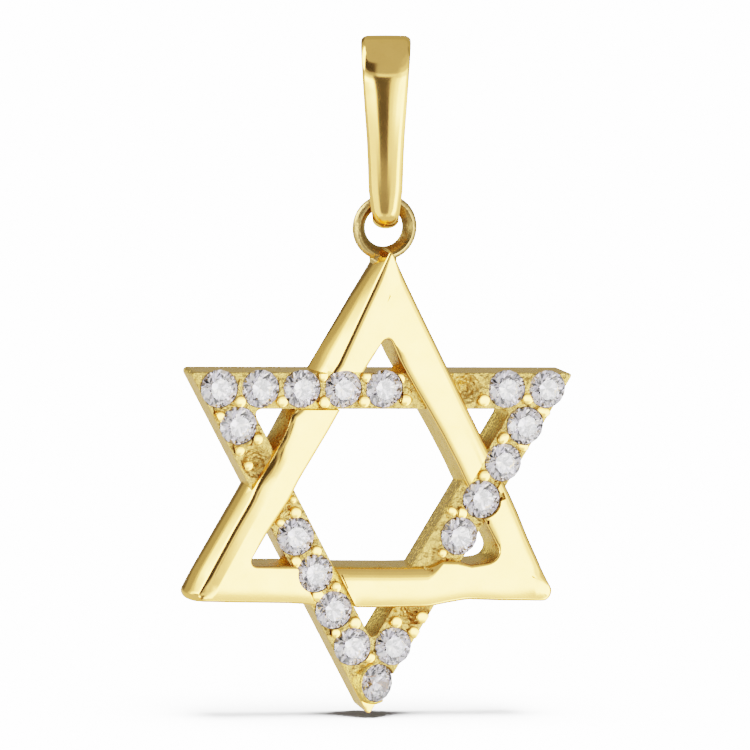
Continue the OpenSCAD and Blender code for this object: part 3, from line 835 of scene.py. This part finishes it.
# The front leg bows slightly: its outside tips down by these angles from its top to its low end
FRONT_TOP, FRONT_LOW, FRONT_LONG = 2.4, 10.4, 5.035
BEND_STEPS, REAR_STEPS, FRONT_STEPS = 30, 12, 16


def station(centre_z, radius, angle):
    """A place on the loop round a centre, as (forward, up, angle of its outside)."""
    a = math.radians(angle)
    return (radius * math.cos(a), centre_z + radius * math.sin(a), angle)


def spread(first, last, steps):
    return [first + (last - first) * k / steps for k in range(steps + 1)]


stations = [station(TOP_Z, TOP_R, a) for a in spread(180 + FRONT_TOP, -LEAN, BEND_STEPS)]
start, end = stations[-1], station(LOW_Z, LOW_R, -LEAN)
stations += [tuple(a + (b - a) * k / REAR_STEPS for a, b in zip(start, end))
             for k in range(1, REAR_STEPS)]
stations += [station(LOW_Z, LOW_R, a) for a in spread(-LEAN, FRONT_LOW - 180, BEND_STEPS)]
y, z = stations[0][:2]
leg = []
for k in range(FRONT_STEPS):
    down = FRONT_TOP + (FRONT_LOW - FRONT_TOP) * (k + 0.5) / FRONT_STEPS
    y += math.sin(math.radians(down)) * FRONT_LONG / FRONT_STEPS
    z -= math.cos(math.radians(down)) * FRONT_LONG / FRONT_STEPS
    leg.append((y, z, FRONT_TOP + (FRONT_LOW - FRONT_TOP) * (k + 1) / FRONT_STEPS - 180))
stations += leg[-2::-1]


def station_matrix(place):
    """Puts the section on the loop: its first axis sideways, its second outwards."""
    y, z, angle = place
    return (Matrix.Translation((0, y, z)) @ Matrix.Rotation(math.radians(angle - 90), 4, "X")
            @ Matrix.Diagonal((between(HALF_WIDTHS, z), 1, 1, 1)))


# The strap's section: share of the half width, height over the strap's middle
EDGE = [(1.0, 0.02), (0.988, 0.09), (0.955, 0.15), (0.905, 0.2), (0.84, 0.232), (0.76, HALF_STRAP)]
section = EDGE + [(0.7 - k / 10, HALF_STRAP) for k in range(15)]
section += [(-u, h) for u, h in reversed(EDGE)]
section += [(-1.0, -0.19), (-0.98, -0.23), (-0.94, -0.25), (-0.5, -0.25), (0, -0.25),
            (0.5, -0.25), (0.94, -0.25), (0.98, -0.23), (1.0, -0.19)]
matrices = [station_matrix(p) for p in stations]
bm = bmesh.new()
line = [bm.verts.new(matrices[0] @ Vector((u, 0, h))) for u, h in section]
edges = [bm.edges.new(pair) for pair in zip(line, line[1:] + line[:1])]
fresh = line
for old, new in zip(matrices, matrices[1:] + matrices[:1]):
    made = bmesh.ops.extrude_edge_only(bm, edges=edges)["geom"]
    edges = [e for e in made if isinstance(e, bmesh.types.BMEdge)]
    after = [v for v in made if isinstance(v, bmesh.types.BMVert)]
    bmesh.ops.transform(bm, matrix=new @ old.inverted(), verts=after)
    # The outside of the section that is done is domed towards its middle
    for v in fresh:
        u, _, h = old.inverted() @ v.co
        if h > 0:
            fall = 1 - math.sqrt(1 - (DOME_BEND * u) ** 2)
            drop = h / HALF_STRAP * fall / (1 - math.sqrt(1 - DOME_BEND ** 2))
            v.co -= (old.to_3x3() @ Vector((0, 0, 1))) * drop * between(DOMES, v.co.z)
    fresh = after
bmesh.ops.delete(bm, geom=fresh, context="VERTS")
ends = [e for e in bm.edges if len(e.link_faces) == 1]
bmesh.ops.bridge_loops(bm, edges=ends)
bail = as_object(bm, "bail_strap")
finish(bail, BAIL_PLACE)
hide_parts("bail")
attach(bail, "bail")

# The stones: 18 round brilliants of white cubic zirconia, held by the beads in blind seats.
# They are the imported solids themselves, in a clear material that bends light as that stone does.
clear = bpy.data.materials.new("white_stone")
clear.use_nodes = True
tree = clear.node_tree
shader = tree.nodes["Principled BSDF"]
shader.inputs["Metallic"].default_value = 0
shader.inputs["Transmission Weight"].default_value = 1
shader.inputs["IOR"].default_value = 2.15
place = add_node(tree, "ShaderNodeTexCoord").outputs["Object"]
cloud = add_node(tree, "ShaderNodeTexNoise", {"Vector": place, "Scale": 700.0, "Detail": 2.0})
tint = add_node(tree, "ShaderNodeMix", {"Factor": cloud.outputs["Fac"]}, data_type="RGBA")
tint.inputs["A"].default_value = (0.97, 0.97, 1, 1)
tint.inputs["B"].default_value = (0.99, 0.98, 0.99, 1)
tree.links.new(tint.outputs["Result"], shader.inputs["Base Color"])
wear = add_node(tree, "ShaderNodeMapRange",
                {"Value": cloud.outputs["Fac"], "To Min": 0.0, "To Max": 0.02})
tree.links.new(wear.outputs["Result"], shader.inputs["Roughness"])
for name, node in frame["nodes"].items():
    if name.startswith("stone_"):
        for slot in node.material_slots:
            slot.material = clear
